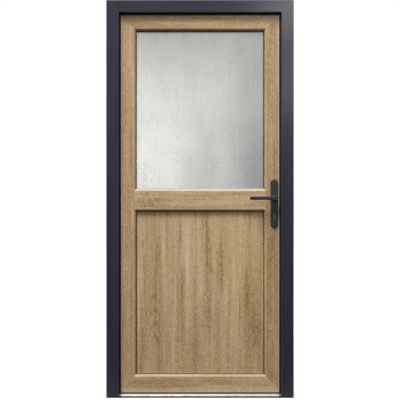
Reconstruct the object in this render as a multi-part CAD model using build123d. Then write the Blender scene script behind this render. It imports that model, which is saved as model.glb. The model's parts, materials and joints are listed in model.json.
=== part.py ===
from build123d import *
import os

# Side door of a house, in millimetres: a foiled frame with a low threshold, and
# a leaf that opens inward, hung on the left as seen from outside. Obscure glass
# fills the upper opening and a plain panel the lower one. A lever handle works
# through the lock stile.
# X runs to the right as seen from outside, Y into the house and Z up. The origin
# is on the underside of the threshold, in the middle of its length and depth.

# Frame
FRAME_WIDTH = 980.0
FRAME_HEIGHT = 2080.0
FRAME_DEPTH = 70.0
FRAME_FACE = 65.0  # width of a jamb or the head, seen from outside
FRAME_LIP = 20.0  # depth of the lip that the leaf closes against
FRAME_STEP = 20.0  # height of that lip above the rebate
FRAME_ROUND = 2.5  # rounding of the frame's outer edges
GROOVE_DEPTH = 3.0  # hardware groove in the frame and in the leaf's edge
KEEP_GROOVE = 22.0  # width of the groove in the frame
KEEP_GROOVE_AT = 36.0  # its distance from the outside face

# Threshold
THRESHOLD_HEIGHT = 16.0
THRESHOLD_NOSE = 10.5  # height of its upright front edge
THRESHOLD_SLOPE = 12.0  # depth of the sloping edge behind it
THRESHOLD_WALL = 2.5
THRESHOLD_ROUND = 1.0
TREAD_GROOVES = 3  # fine grooves in front of the leaf, and as many inside
TREAD_GROOVE = 1.6  # width of a groove and of the land beside it
TREAD_GROOVE_DEPTH = 0.8

# Leaf
LEAF_DEPTH = 70.0
LEAF_FACE = 86.0  # flat width of stiles and top rail, seen from outside
BOTTOM_TRIM = 2.0  # cut off the bottom rail's face to clear the threshold
TRANSOM_FACE = 97.0
TRANSOM_CENTRE = 1033.5
LEAF_EDGE_GAP = 12.0  # between the leaf's edge and the frame's rebate
LEAF_OVERLAP = 12.0  # how far the leaf's flange covers the frame inside
SEAL_GAP = 5.0  # between the leaf and the frame, where the seals lie
BOTTOM_GAP = 5.0  # between the leaf and the threshold
LEAF_ROUND = 1.5
LEAF_GROOVE = 18.0
LEAF_GROOVE_AT = 28.0  # its distance from the leaf's outside face

# Glazing
SLOPE = 8.0  # sloped inner edge of stiles and rails
TRANSOM_SLOPE = 9.0
LIP_DEPTH = 17.0  # depth of the lip that holds the glass from outside
REBATE = 22.0  # how far the glazing rebate runs in behind that lip
GLASS_LAP = 17.0  # how far glass and panel run in behind the lip
GASKET = 3.0  # thickness of the gaskets
GASKET_LAP = 14.0
GASKET_NOSE = 3.5  # how far the outside gasket shows past the lip
INFILL = 28.0  # thickness of the sealed glass unit and of the panel
PANE = 4.0
SPACER_WIDTH = 12.0
BEAD_WIDTH = 20.0
BEAD_EDGE = 7.0  # upright part of the bead's nose
BEAD_TOP = 10.0  # width of its flat top

# Seals
SEAL_SLACK = 0.3  # between a seal and the part that moves past it
SEAL_WIDTH = 16.0
SEAL_NOSE = 8.5  # how far the frame's seal shows past the lip
SEAL_ROUND = 2.0
LEAF_SEAL_WIDTH = 10.0
LEAF_SEAL_INSET = 3.0  # from the flange's edge
LEAF_SEAL_ROUND = 1.5
BRUSH_DEPTH = 15.0

# Hinges
HINGE_LENGTH = 100.0
HINGE_INSET = 180.0  # from the leaf's ends to the outer hinges' middles
BARREL_RADIUS = 8.0
PIN_RADIUS = 4.0
PIN_SLACK = 0.1
KNUCKLE_GAP = 0.5
LEAF_KNUCKLE = 38.0
HINGE_PLATE = 4.0
HINGE_PLATE_WIDTH = 25.0
LEAF_PLATE_WIDTH = 32.0
HINGE_EDGE_GAP = 5.0  # between the barrel and the leaf's flange
HINGE_AXIS_SHIFT = 1.5  # of the pin, from midway between the two plates
HINGE_CORNER = 6.0  # rounding of the plates' corners
BARREL_BEVEL = 1.5  # on the barrel's two ends
WEB_HALF = 6.0  # half width of the web between knuckle and frame plate
ARM_HALF = 4.0  # half width of the leaf knuckle's neck
PLATE_TUCK = 1.0  # how far the frame plate reaches in under the barrel
LEAF_PLATE_INSET = 2.0  # of the leaf plate from the flange's edge

# Handle
SPINDLE_HEIGHT = 1045.0
BACKSET = 42.0  # from the leaf's edge to the spindle
PLATE_WIDTH = 38.0
PLATE_LENGTH = 254.0
PLATE_THICK = 9.0
PLATE_ROUND = 4.5
PLATE_ABOVE = 98.0  # from the spindle to the plate's top
NECK_RADIUS = 10.0
NECK_SLACK = 0.2
NECK_START = 1.0  # of the neck from the leaf's face
BOSS_RADIUS = 14.5  # round head of the lever, where the grip turns off
BOSS_INNER = 33.0  # from the leaf's face to the inner side of the head
LEVER_LENGTH = 131.5
GRIP_INNER = 41.0  # from the leaf's face to the grip's two sides
GRIP_OUTER = 54.0
GRIP_ABOVE = 8.0  # the grip's edges, above and below the spindle
GRIP_BELOW = 10.0
GRIP_SWELL = 1.7  # how much fuller the grip is below, near its tip
GRIP_SWELL_AT = 0.82  # share of the length where it is fullest
GRIP_WAIST_AT = 0.40
GRIP_TIP_ROUND = 6.0
GRIP_ROUND = 4.0  # softening of all the lever's edges
BOSS_BLEND = 7.0  # hollow between head and grip
SPINDLE_SQUARE = 8.0
SPINDLE_SLACK = 0.1
SPINDLE_HOLE_RADIUS = 10.0
SOCKET_DEPTH = 24.0
CYLINDER_DROP = 92.0  # from the spindle to the key barrel
CYLINDER_RADIUS = 8.5
CYLINDER_HEIGHT = 33.0
CYLINDER_WEB = 10.0
CYLINDER_PROUD = 3.0
CYLINDER_SLACK = 0.3
KEY_SLOT = (1.6, 9.0, 4.0)  # width, height and depth

# Lock edge
FACEPLATE_INSET = 125.0  # from the leaf's ends to the lock's long plate
HOOK_INSET = 300.0  # from the plate's ends to the hooks
FACEPLATE_SLACK = 0.3
BOLT_SLACK = 0.3
BOLT_WIDTH = 11.0
BOLT_CLEARANCE = 2.0  # round each bolt in its keep
LATCH_LENGTH = 32.0
HOOK_LENGTH = 40.0
KEEP_MARGIN = 35.0  # of a keep past the bolts that it takes
LATCH_BEVEL = 2.5  # depth of the slope on the latch's outside edge

# Fixing holes through the jambs
FIXING_RADIUS = 5.0
FIXING_INSET = 200.0  # from the frame's ends to the outer holes
FIXING_DEPTH_AT = 28.0  # from the outside face, beside the keep groove

# Places that follow from the sizes
front = -FRAME_DEPTH / 2
back = FRAME_DEPTH / 2
frame_half = FRAME_WIDTH / 2
rebate_in = FRAME_FACE - FRAME_STEP
rebate_x = frame_half - rebate_in
rebate_z = FRAME_HEIGHT - rebate_in
lip_x = frame_half - FRAME_FACE
leaf_front = front + FRAME_LIP + SEAL_GAP
leaf_back = leaf_front + LEAF_DEPTH
flange_front = back + SEAL_GAP
leaf_x = rebate_x - LEAF_EDGE_GAP
leaf_top = rebate_z - LEAF_EDGE_GAP
flange_x = rebate_x + LEAF_OVERLAP
flange_top = rebate_z + LEAF_OVERLAP
leaf_bottom = THRESHOLD_HEIGHT + BOTTOM_GAP
flange_in = flange_x - leaf_x
face_in = flange_in + LEAF_FACE
lip_in = face_in + SLOPE
rebate_leaf_in = lip_in - REBATE
rail_base = leaf_bottom - BOTTOM_TRIM - flange_in
bead_y = leaf_front + LIP_DEPTH + GASKET + INFILL + GASKET
spindle_x = leaf_x - BACKSET
plate_top = SPINDLE_HEIGHT + PLATE_ABOVE
plate_middle = plate_top - PLATE_LENGTH / 2
cylinder_z = SPINDLE_HEIGHT - CYLINDER_DROP
faceplate_low = leaf_bottom + FACEPLATE_INSET
faceplate_high = leaf_top - FACEPLATE_INSET
fixing_spacing = (FRAME_HEIGHT - 2 * FIXING_INSET) / 3
hinge_x = -(flange_x + HINGE_EDGE_GAP + BARREL_RADIUS)
hinge_y = (back + leaf_back) / 2 + HINGE_AXIS_SHIFT
hinge_heights = {
    "lower": leaf_bottom + HINGE_INSET,
    "middle": (leaf_bottom + leaf_top) / 2,
    "upper": leaf_top - HINGE_INSET,
}
# Height of the middle and length of each bolt, by the keep that takes it
bolts = {
    "lower": [(faceplate_low + HOOK_INSET, HOOK_LENGTH)],
    "centre": [(SPINDLE_HEIGHT, LATCH_LENGTH), (cylinder_z, HOOK_LENGTH)],
    "upper": [(faceplate_high - HOOK_INSET, HOOK_LENGTH)],
}

# The two openings of the leaf: half width, bottom and top between the lips
transom_lip = TRANSOM_FACE / 2 + TRANSOM_SLOPE
opening_half = flange_x - lip_in
glass_opening = (opening_half, TRANSOM_CENTRE + transom_lip, flange_top - lip_in)
panel_opening = (opening_half, rail_base + lip_in, TRANSOM_CENTRE - transom_lip)


def outline(corners):
    """A closed face from corners given as (a, b) or (a, b, rounding)."""
    points = [(corner[0], corner[1]) for corner in corners]
    rounds = [corner[2] if len(corner) > 2 else 0 for corner in corners]
    return make_face(FilletPolyline(*points, radius=rounds, close=True))


def upright(corners, side, outer, low, high):
    """A profile of (distance in, Y) run up from low to high, on one side."""
    placed = [(side * (outer - c[0]), *c[1:]) for c in corners]
    return Pos(0, 0, low) * extrude(outline(placed), high - low, dir=(0, 0, 1))


def crossbar(corners, base, direction, half):
    """A profile of (distance in, Y) run along X, at Z = base + direction * in."""
    placed = [(base + direction * c[0], *c[1:]) for c in corners]
    plane = Plane(origin=(-half, 0, 0), x_dir=(0, 0, 1), z_dir=(-1, 0, 0))
    return extrude(plane * outline(placed), 2 * half, dir=(1, 0, 0))


def elevation(points):
    """A slab through the whole depth with the given outline of (X, Z) points."""
    reach = FRAME_DEPTH + LEAF_DEPTH
    plane = Plane(origin=(0, -reach, 0), x_dir=(1, 0, 0), z_dir=(0, -1, 0))
    return extrude(plane * outline(points), 2 * reach, dir=(0, 1, 0))


def box(x0, x1, y0, y1, z0, z1):
    """A plain block between two corners."""
    block = Box(x1 - x0, y1 - y0, z1 - z0)
    return Pos((x0 + x1) / 2, (y0 + y1) / 2, (z0 + z1) / 2) * block


def ring(opening, outside, inside, y0, y1):
    """A rectangular ring about an opening, past its lips by outside and inside."""
    half, low, high = opening
    outer = box(-half - outside, half + outside, y0, y1, low - outside, high + outside)
    inner = box(
        -half - inside, half + inside, y0 - 1, y1 + 1, low - inside, high + inside
    )
    return outer - inner


def mitred_upright(corners, side, outer, top, base, width):
    """An upright whose ends are cut at 45 degrees; base is None for a square foot."""
    low = 0 if base is None else base
    foot = low if base is None else base + width
    cut = elevation(
        [
            (side * outer, low),
            (side * outer, top),
            (side * (outer - width), top - width),
            (side * (outer - width), foot),
        ]
    )
    return upright(corners, side, outer, low, top) & cut


def mitred_rail(corners, outer, level, direction, width):
    """A rail whose two ends are cut at 45 degrees."""
    cut = elevation(
        [
            (-outer, level),
            (outer, level),
            (outer - width, level + direction * width),
            (-outer + width, level + direction * width),
        ]
    )
    return crossbar(corners, level, direction, outer) & cut


def frame_profile():
    """Section of the frame: a lip outside, and a rebate with a keep groove."""
    groove = rebate_in - GROOVE_DEPTH
    keep_front = front + KEEP_GROOVE_AT
    return [
        (0, front, FRAME_ROUND),
        (FRAME_FACE, front, FRAME_ROUND),
        (FRAME_FACE, front + FRAME_LIP),
        (rebate_in, front + FRAME_LIP),
        (rebate_in, keep_front),
        (groove, keep_front),
        (groove, keep_front + KEEP_GROOVE),
        (rebate_in, keep_front + KEEP_GROOVE),
        (rebate_in, back, LEAF_ROUND),
        (0, back),
    ]


def leaf_profile():
    """Section of a stile or rail: overlap flange, lock groove and glazing rebate."""
    groove_front = leaf_front + LEAF_GROOVE_AT
    groove_floor = flange_in + GROOVE_DEPTH
    return [
        (flange_in, leaf_front, LEAF_ROUND),
        (face_in, leaf_front, LEAF_ROUND),
        (lip_in, leaf_front + SLOPE, LEAF_ROUND),
        (lip_in, leaf_front + LIP_DEPTH),
        (rebate_leaf_in, leaf_front + LIP_DEPTH),
        (rebate_leaf_in, leaf_back),
        (0, leaf_back, LEAF_ROUND),
        (0, flange_front, LEAF_ROUND),
        (flange_in, flange_front),
        (flange_in, groove_front + LEAF_GROOVE),
        (groove_floor, groove_front + LEAF_GROOVE),
        (groove_floor, groove_front),
        (flange_in, groove_front),
    ]


def fixing_holes(side):
    """The round holes through a jamb for the screws that hold the frame."""
    cuts = Part()
    x = side * (frame_half - rebate_in / 2)
    for step in range(4):
        z = FIXING_INSET + step * fixing_spacing
        place = Pos(x, front + FIXING_DEPTH_AT, z) * Rot(0, 90, 0)
        cuts += place * Cylinder(FIXING_RADIUS, 2 * rebate_in)
    return cuts


def frame_jamb(side):
    body = mitred_upright(
        frame_profile(), side, frame_half, FRAME_HEIGHT, None, FRAME_FACE
    )
    return body - fixing_holes(side)


def frame_head():
    return mitred_rail(frame_profile(), frame_half, FRAME_HEIGHT, -1, FRAME_FACE)


def tread_grooves():
    """Fine grooves along the tread, where feet meet it outside and inside."""
    cuts = Part()
    floor = THRESHOLD_HEIGHT - TREAD_GROOVE_DEPTH
    run = 2 * TREAD_GROOVES * TREAD_GROOVE
    for start in (front + THRESHOLD_SLOPE + TREAD_GROOVE, back - THRESHOLD_WALL - run):
        for count in range(TREAD_GROOVES):
            y = start + 2 * count * TREAD_GROOVE
            cuts += box(-rebate_x, rebate_x, y, y + TREAD_GROOVE, floor, THRESHOLD_HEIGHT + 1)
    return cuts


def threshold():
    """A hollow bar between the jambs, with a sloping nose and two chambers."""
    outside = [
        (0, front),
        (THRESHOLD_NOSE, front, THRESHOLD_ROUND),
        (THRESHOLD_HEIGHT, front + THRESHOLD_SLOPE, THRESHOLD_ROUND),
        (THRESHOLD_HEIGHT, back, THRESHOLD_ROUND),
        (0, back),
    ]
    wall = THRESHOLD_WALL
    middle = front + FRAME_LIP + THRESHOLD_SLOPE
    front_chamber = [
        (wall, front + wall),
        (THRESHOLD_NOSE - wall / 2, front + wall),
        (THRESHOLD_HEIGHT - wall, front + THRESHOLD_SLOPE + wall / 2),
        (THRESHOLD_HEIGHT - wall, middle - wall / 2),
        (wall, middle - wall / 2),
    ]
    back_chamber = [
        (wall, middle + wall / 2),
        (THRESHOLD_HEIGHT - wall, middle + wall / 2),
        (THRESHOLD_HEIGHT - wall, back - wall),
        (wall, back - wall),
    ]
    bar = crossbar(outside, 0, 1, rebate_x)
    bar -= crossbar(front_chamber, 0, 1, rebate_x + 1)
    bar -= crossbar(back_chamber, 0, 1, rebate_x + 1)
    bar -= tread_grooves()
    for side in (-1, 1):
        near, far = sorted((side * lip_x, side * (rebate_x + 1)))
        bar -= box(near, far, front - 1, front + FRAME_LIP, -1, THRESHOLD_HEIGHT + 1)
    return bar


def frame_seal():
    """The seal on the back of the frame's lip, round the sides and the head."""
    seat = front + FRAME_LIP
    nose = FRAME_FACE + SEAL_NOSE
    face = seat + SEAL_GAP - SEAL_SLACK
    profile = [
        (nose - SEAL_WIDTH, seat),
        (nose, seat, SEAL_ROUND / 2),
        (nose, face, SEAL_ROUND),
        (nose - SEAL_WIDTH, face),
    ]
    width = nose + 1
    seal = mitred_rail(profile, frame_half, FRAME_HEIGHT, -1, width)
    for side in (-1, 1):
        seal += mitred_upright(profile, side, frame_half, FRAME_HEIGHT, None, width)
    clear = box(-frame_half, frame_half, front, back, -1, THRESHOLD_HEIGHT)
    return seal - clear


def leaf_seal():
    """The seal on the leaf's flange, which closes on the frame's inside face."""
    near = LEAF_SEAL_INSET
    far = near + LEAF_SEAL_WIDTH
    profile = [
        (near, flange_front),
        (near, back + SEAL_SLACK, LEAF_SEAL_ROUND),
        (far, back + SEAL_SLACK, LEAF_SEAL_ROUND),
        (far, flange_front),
    ]
    width = far + 1
    seal = mitred_rail(profile, flange_x, flange_top, -1, width)
    for side in (-1, 1):
        seal += mitred_upright(profile, side, flange_x, flange_top, None, width)
    return seal - box(-frame_half, frame_half, front, leaf_back, -1, leaf_bottom)


def keyhole_shape(margin):
    """Face of the lock cylinder's profile, drawn about its barrel's centre."""
    radius = CYLINDER_RADIUS + margin
    web = CYLINDER_WEB + 2 * margin
    drop = CYLINDER_HEIGHT - CYLINDER_RADIUS - CYLINDER_WEB / 2
    shape = Circle(radius) + Pos(0, -drop / 2) * Rectangle(web, drop)
    return shape + Pos(0, -drop) * Circle(web / 2)


def along_depth(face, x, z, y0, y1):
    """A face drawn in X and Z, run through from y0 to y1."""
    plane = Plane(origin=(x, y0, z), x_dir=(1, 0, 0), z_dir=(0, -1, 0))
    return extrude(plane * face, y1 - y0, dir=(0, 1, 0))


def leaf_stile(side):
    base = rail_base
    body = mitred_upright(leaf_profile(), side, flange_x, flange_top, base, lip_in)
    body -= box(
        -frame_half, frame_half, front, leaf_back + 1, base - 1, leaf_bottom
    )
    if side > 0:
        through = (leaf_front - 1, leaf_back + 1)
        hole = Circle(SPINDLE_HOLE_RADIUS)
        body -= along_depth(hole, spindle_x, SPINDLE_HEIGHT, *through)
        body -= along_depth(
            keyhole_shape(CYLINDER_SLACK), spindle_x, cylinder_z, *through
        )
    return body


def leaf_top_rail():
    return mitred_rail(leaf_profile(), flange_x, flange_top, -1, lip_in)


def leaf_bottom_rail():
    rail = mitred_rail(leaf_profile(), flange_x, rail_base, 1, lip_in)
    return rail - box(
        -frame_half, frame_half, front, leaf_back + 1, rail_base - 1, leaf_bottom
    )


def leaf_transom():
    """The middle rail, butted between the stiles, with a rebate on both sides."""
    half_face = TRANSOM_FACE / 2
    rebate = transom_lip - REBATE
    upper = [
        (half_face, leaf_front, LEAF_ROUND),
        (transom_lip, leaf_front + TRANSOM_SLOPE, LEAF_ROUND),
        (transom_lip, leaf_front + LIP_DEPTH),
        (rebate, leaf_front + LIP_DEPTH),
        (rebate, leaf_back),
    ]
    lower = [(-corner[0], *corner[1:]) for corner in reversed(upper)]
    core = flange_x - rebate_leaf_in
    bar = crossbar(upper + lower, TRANSOM_CENTRE, 1, core)
    for side in (-1, 1):
        bar -= upright_block(side)
    return bar


def upright_block(side):
    """What the stile fills beside the transom's end."""
    slope = [
        (rebate_leaf_in - 1, leaf_front - 1),
        (face_in, leaf_front - 1),
        (face_in, leaf_front),
        (lip_in, leaf_front + SLOPE),
        (lip_in, leaf_front + LIP_DEPTH),
        (rebate_leaf_in - 1, leaf_front + LIP_DEPTH),
    ]
    low = TRANSOM_CENTRE - TRANSOM_FACE
    high = TRANSOM_CENTRE + TRANSOM_FACE
    return upright(slope, side, flange_x, low, high)


def pane(opening, y0, y1):
    half, low, high = opening
    lap = GLASS_LAP
    return box(-half - lap, half + lap, y0, y1, low - lap, high + lap)


def glazing_beads(opening):
    """Four beads that hold glass or panel from inside, mitred at the corners."""
    half, low, high = opening
    outer = half + REBATE
    top = high + REBATE
    bottom = low - REBATE
    profile = [
        (0, bead_y),
        (BEAD_WIDTH, bead_y),
        (BEAD_WIDTH, bead_y + BEAD_EDGE, LEAF_ROUND),
        (BEAD_TOP, leaf_back, LEAF_ROUND),
        (0, leaf_back),
    ]
    return {
        "left": mitred_upright(profile, -1, outer, top, bottom, BEAD_WIDTH),
        "right": mitred_upright(profile, 1, outer, top, bottom, BEAD_WIDTH),
        "top": mitred_rail(profile, outer, top, -1, BEAD_WIDTH),
        "bottom": mitred_rail(profile, outer, bottom, 1, BEAD_WIDTH),
    }


def bottom_brush():
    middle = (leaf_front + leaf_back) / 2
    reach = leaf_x - BOTTOM_GAP
    low = THRESHOLD_HEIGHT + SEAL_SLACK
    return box(
        -reach, reach, middle - BRUSH_DEPTH, middle, low, leaf_bottom
    )


def edge_plate(x0, x1, y0, y1, z0, z1):
    """A plate in a door edge, with half-round ends."""
    face = SlotOverall(z1 - z0, y1 - y0, rotation=90)
    plane = Plane(origin=(x0, (y0 + y1) / 2, (z0 + z1) / 2), x_dir=(0, 1, 0), z_dir=(1, 0, 0))
    return extrude(plane * face, x1 - x0, dir=(1, 0, 0))


def lock_faceplate():
    """The long plate of the lock, flush in the groove of the leaf's edge."""
    middle = leaf_front + LEAF_GROOVE_AT + LEAF_GROOVE / 2
    half = LEAF_GROOVE / 2 - FACEPLATE_SLACK
    floor = leaf_x - GROOVE_DEPTH
    y0, y1 = middle - half, middle + half
    plate = edge_plate(floor, leaf_x, y0, y1, faceplate_low, faceplate_high)
    wide = BOLT_WIDTH / 2 + BOLT_SLACK
    for places in bolts.values():
        for z, length in places:
            tall = length / 2 + BOLT_SLACK
            plate -= box(
                floor - 1, leaf_x + 1, middle - wide, middle + wide, z - tall, z + tall
            )
    return plate


def lock_bolts():
    """Latch, deadbolt and hooks, drawn back level with the faceplate."""
    middle = leaf_front + LEAF_GROOVE_AT + LEAF_GROOVE / 2
    y0, y1 = middle - BOLT_WIDTH / 2, middle + BOLT_WIDTH / 2
    drawn = Part()
    for places in bolts.values():
        for z, length in places:
            drawn += box(
                leaf_x - GROOVE_DEPTH, leaf_x, y0, y1, z - length / 2, z + length / 2
            )
    slope = [(leaf_x, y0), (leaf_x - LATCH_BEVEL, y0), (leaf_x, y1)]
    low = SPINDLE_HEIGHT - LATCH_LENGTH / 2
    return drawn - Pos(0, 0, low) * extrude(outline(slope), LATCH_LENGTH, dir=(0, 0, 1))


def keep(places):
    """A striking plate in the groove of the lock jamb, open where bolts go in."""
    middle = front + KEEP_GROOVE_AT + KEEP_GROOVE / 2
    half = KEEP_GROOVE / 2 - FACEPLATE_SLACK
    floor = rebate_x + GROOVE_DEPTH
    low = min(z - length / 2 for z, length in places) - KEEP_MARGIN
    high = max(z + length / 2 for z, length in places) + KEEP_MARGIN
    plate = edge_plate(rebate_x, floor, middle - half, middle + half, low, high)
    wide = BOLT_WIDTH / 2 + BOLT_CLEARANCE
    for z, length in places:
        tall = length / 2 + BOLT_CLEARANCE
        plate -= box(
            rebate_x - 1, floor + 1, middle - wide, middle + wide, z - tall, z + tall
        )
    return plate


def lock_cylinder():
    y0 = leaf_front - PLATE_THICK - CYLINDER_PROUD
    y1 = leaf_back + PLATE_THICK + CYLINDER_PROUD
    body = along_depth(keyhole_shape(0), spindle_x, cylinder_z, y0, y1)
    width, height, depth = KEY_SLOT
    slot = Rectangle(width, height)
    body -= along_depth(slot, spindle_x, cylinder_z, y0 - 1, y0 + depth)
    return body - along_depth(slot, spindle_x, cylinder_z, y1 - depth, y1 + 1)


def handle_plate(outside):
    """Long plate with round ends and a softened rim, bored for neck and cylinder."""
    face = leaf_front if outside else leaf_back
    y0 = face - PLATE_THICK if outside else face
    blank = along_depth(
        SlotOverall(PLATE_LENGTH, PLATE_WIDTH, rotation=90),
        spindle_x,
        plate_middle,
        y0,
        y0 + PLATE_THICK,
    )
    rim = blank.faces().sort_by(Axis.Y)[0 if outside else -1]
    blank = fillet(rim.edges(), PLATE_ROUND)
    neck = Circle(NECK_RADIUS + NECK_SLACK)
    y_through = (y0 - 1, y0 + PLATE_THICK + 1)
    blank -= along_depth(neck, spindle_x, SPINDLE_HEIGHT, *y_through)
    key = keyhole_shape(CYLINDER_SLACK)
    return blank - along_depth(key, spindle_x, cylinder_z, *y_through)


def lever_front_view():
    """The lever seen square-on, about its spindle: round head and waisted grip."""
    tip = -LEVER_LENGTH
    waist = tip * GRIP_WAIST_AT
    below = GRIP_BELOW + GRIP_SWELL
    soft = LEVER_LENGTH / 4
    grip = outline(
        [
            (0, GRIP_ABOVE + GRIP_SWELL),
            (waist, GRIP_ABOVE, soft),
            (tip, GRIP_ABOVE, GRIP_TIP_ROUND),
            (tip, -GRIP_BELOW, GRIP_TIP_ROUND),
            (tip * GRIP_SWELL_AT, -below, soft),
            (waist, -GRIP_BELOW, soft),
            (0, -below),
        ]
    )
    shape = Circle(BOSS_RADIUS) + grip
    joint = shape.vertices().filter_by(lambda v: 0 > v.X > -BOSS_RADIUS)
    return fillet(joint, BOSS_BLEND)


def lever_top_view(face, sign):
    """The lever seen from above: its head reaches nearer the plate than its grip."""
    left = spindle_x - LEVER_LENGTH - 1
    right = spindle_x + BOSS_RADIUS + 1
    elbow = spindle_x - BOSS_RADIUS
    outer = face + sign * GRIP_OUTER
    inner = face + sign * GRIP_INNER
    head = face + sign * BOSS_INNER
    corners = [
        (left, outer),
        (right, outer),
        (right, head),
        (elbow, head, BOSS_BLEND),
        (elbow - BOSS_RADIUS, inner, BOSS_BLEND),
        (left, inner),
    ]
    low = SPINDLE_HEIGHT - 2 * BOSS_RADIUS
    return Pos(0, 0, low) * extrude(outline(corners), 4 * BOSS_RADIUS, dir=(0, 0, 1))


def lever(outside):
    """A cast lever: its two views cut from one block, softened, on a round neck."""
    sign = -1 if outside else 1
    face = leaf_front if outside else leaf_back
    y0, y1 = sorted((face, face + sign * (GRIP_OUTER + 1)))
    block = along_depth(lever_front_view(), spindle_x, SPINDLE_HEIGHT, y0, y1)
    body = block & lever_top_view(face, sign)
    body = fillet(body.edges(), GRIP_ROUND)
    middle = face + sign * (BOSS_INNER + GRIP_OUTER) / 2
    n0, n1 = sorted((face + sign * NECK_START, middle))
    body += along_depth(Circle(NECK_RADIUS), spindle_x, SPINDLE_HEIGHT, n0, n1)
    s0, s1 = sorted((face, face + sign * (SOCKET_DEPTH + 1)))
    side = SPINDLE_SQUARE + 2 * SPINDLE_SLACK
    return body - along_depth(Rectangle(side, side), spindle_x, SPINDLE_HEIGHT, s0, s1)


def lever_spindle():
    """The square bar that joins the two levers through the stile."""
    y0 = leaf_front - SOCKET_DEPTH
    y1 = leaf_back + SOCKET_DEPTH
    square = Rectangle(SPINDLE_SQUARE, SPINDLE_SQUARE)
    return along_depth(square, spindle_x, SPINDLE_HEIGHT, y0, y1)


def barrel(z0, z1, radius):
    return Pos(hinge_x, hinge_y, (z0 + z1) / 2) * Cylinder(radius, z1 - z0)


def hinge_plate(x0, x1, seat, low, high):
    """A plate on an inside face, its two corners away from the barrel rounded."""
    plate = box(x0, x1, seat, seat + HINGE_PLATE, low, high)
    far = min(x0, x1) if x0 < hinge_x else max(x0, x1)
    corners = plate.edges().filter_by(Axis.Y).filter_by(lambda e: abs(e.center().X - far) < 1)
    return fillet(corners, HINGE_CORNER)


def hinge_frame_half(z):
    """Plate on the frame's inside face, two knuckles and the pin."""
    low, high = z - HINGE_LENGTH / 2, z + HINGE_LENGTH / 2
    knuckle = LEAF_KNUCKLE / 2 + KNUCKLE_GAP
    plate_right = hinge_x + BARREL_RADIUS - PLATE_TUCK
    plate_left = plate_right - HINGE_PLATE_WIDTH
    ends = barrel(low, high, BARREL_RADIUS)
    ends = chamfer(ends.edges().filter_by(GeomType.CIRCLE), BARREL_BEVEL)
    half = hinge_plate(plate_left, plate_right, back, low, high)
    for z0, z1 in ((low, z - knuckle), (z + knuckle, high)):
        half += ends & barrel(z0, z1, BARREL_RADIUS + 1)
        half += box(hinge_x - WEB_HALF, hinge_x + WEB_HALF, back, hinge_y, z0, z1)
    return half + barrel(low + BARREL_BEVEL, high - BARREL_BEVEL, PIN_RADIUS)


def hinge_leaf_half(z):
    """Plate on the leaf's inside face, with one knuckle that turns on the pin."""
    low, high = z - HINGE_LENGTH / 2, z + HINGE_LENGTH / 2
    k0, k1 = z - LEAF_KNUCKLE / 2, z + LEAF_KNUCKLE / 2
    edge = -flange_x + LEAF_PLATE_INSET
    outer = leaf_back + HINGE_PLATE
    half = hinge_plate(edge, edge + LEAF_PLATE_WIDTH, leaf_back, low, high)
    half += box(hinge_x - ARM_HALF, edge, leaf_back, outer, k0, k1)
    half += box(hinge_x - ARM_HALF, hinge_x + ARM_HALF, hinge_y, outer, k0, k1)
    half += barrel(k0, k1, BARREL_RADIUS)
    return half - barrel(k0 - 1, k1 + 1, PIN_RADIUS + PIN_SLACK)


def build():
    """Every piece of the door by its name."""
    glass_front = leaf_front + LIP_DEPTH + GASKET
    glass_back = glass_front + INFILL
    gasket_front = leaf_front + LIP_DEPTH
    spacer_edge = GLASS_LAP - SPACER_WIDTH
    pieces = {
        "frame_jamb_left": frame_jamb(-1),
        "frame_jamb_right": frame_jamb(1),
        "frame_head": frame_head(),
        "threshold": threshold(),
        "frame_seal": frame_seal(),
        "leaf_stile_left": leaf_stile(-1),
        "leaf_stile_right": leaf_stile(1),
        "leaf_top_rail": leaf_top_rail(),
        "leaf_bottom_rail": leaf_bottom_rail(),
        "leaf_transom": leaf_transom(),
        "leaf_seal": leaf_seal(),
        "bottom_brush": bottom_brush(),
        "glass_outer_pane": pane(glass_opening, glass_front, glass_front + PANE),
        "glass_inner_pane": pane(glass_opening, glass_back - PANE, glass_back),
        "glass_spacer": ring(
            glass_opening,
            GLASS_LAP,
            spacer_edge,
            glass_front + PANE,
            glass_back - PANE,
        ),
        "infill_panel": pane(panel_opening, glass_front, glass_back),
        "lock_faceplate": lock_faceplate(),
        "lock_bolts": lock_bolts(),
        "lock_cylinder": lock_cylinder(),
        "handle_plate_outside": handle_plate(True),
        "handle_plate_inside": handle_plate(False),
        "lever_outside": lever(True),
        "lever_inside": lever(False),
        "lever_spindle": lever_spindle(),
    }
    for name, opening in (("glass", glass_opening), ("panel", panel_opening)):
        pieces[f"{name}_gasket_outside"] = ring(
            opening, GASKET_LAP, -GASKET_NOSE, gasket_front, glass_front
        )
        pieces[f"{name}_gasket_inside"] = ring(
            opening, GASKET_LAP, 0, glass_back, bead_y
        )
        for place, bead in glazing_beads(opening).items():
            pieces[f"{name}_bead_{place}"] = bead
    for place, z in hinge_heights.items():
        pieces[f"hinge_{place}_frame_half"] = hinge_frame_half(z)
        pieces[f"hinge_{place}_leaf_half"] = hinge_leaf_half(z)
    for place, places in bolts.items():
        pieces[f"keep_{place}"] = keep(places)
    return pieces


os.makedirs("parts", exist_ok=True)
for name, piece in build().items():
    export_step(piece, f"parts/{name}.step")
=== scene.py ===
import json
import math

import bmesh
import bpy
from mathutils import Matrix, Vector, noise


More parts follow.
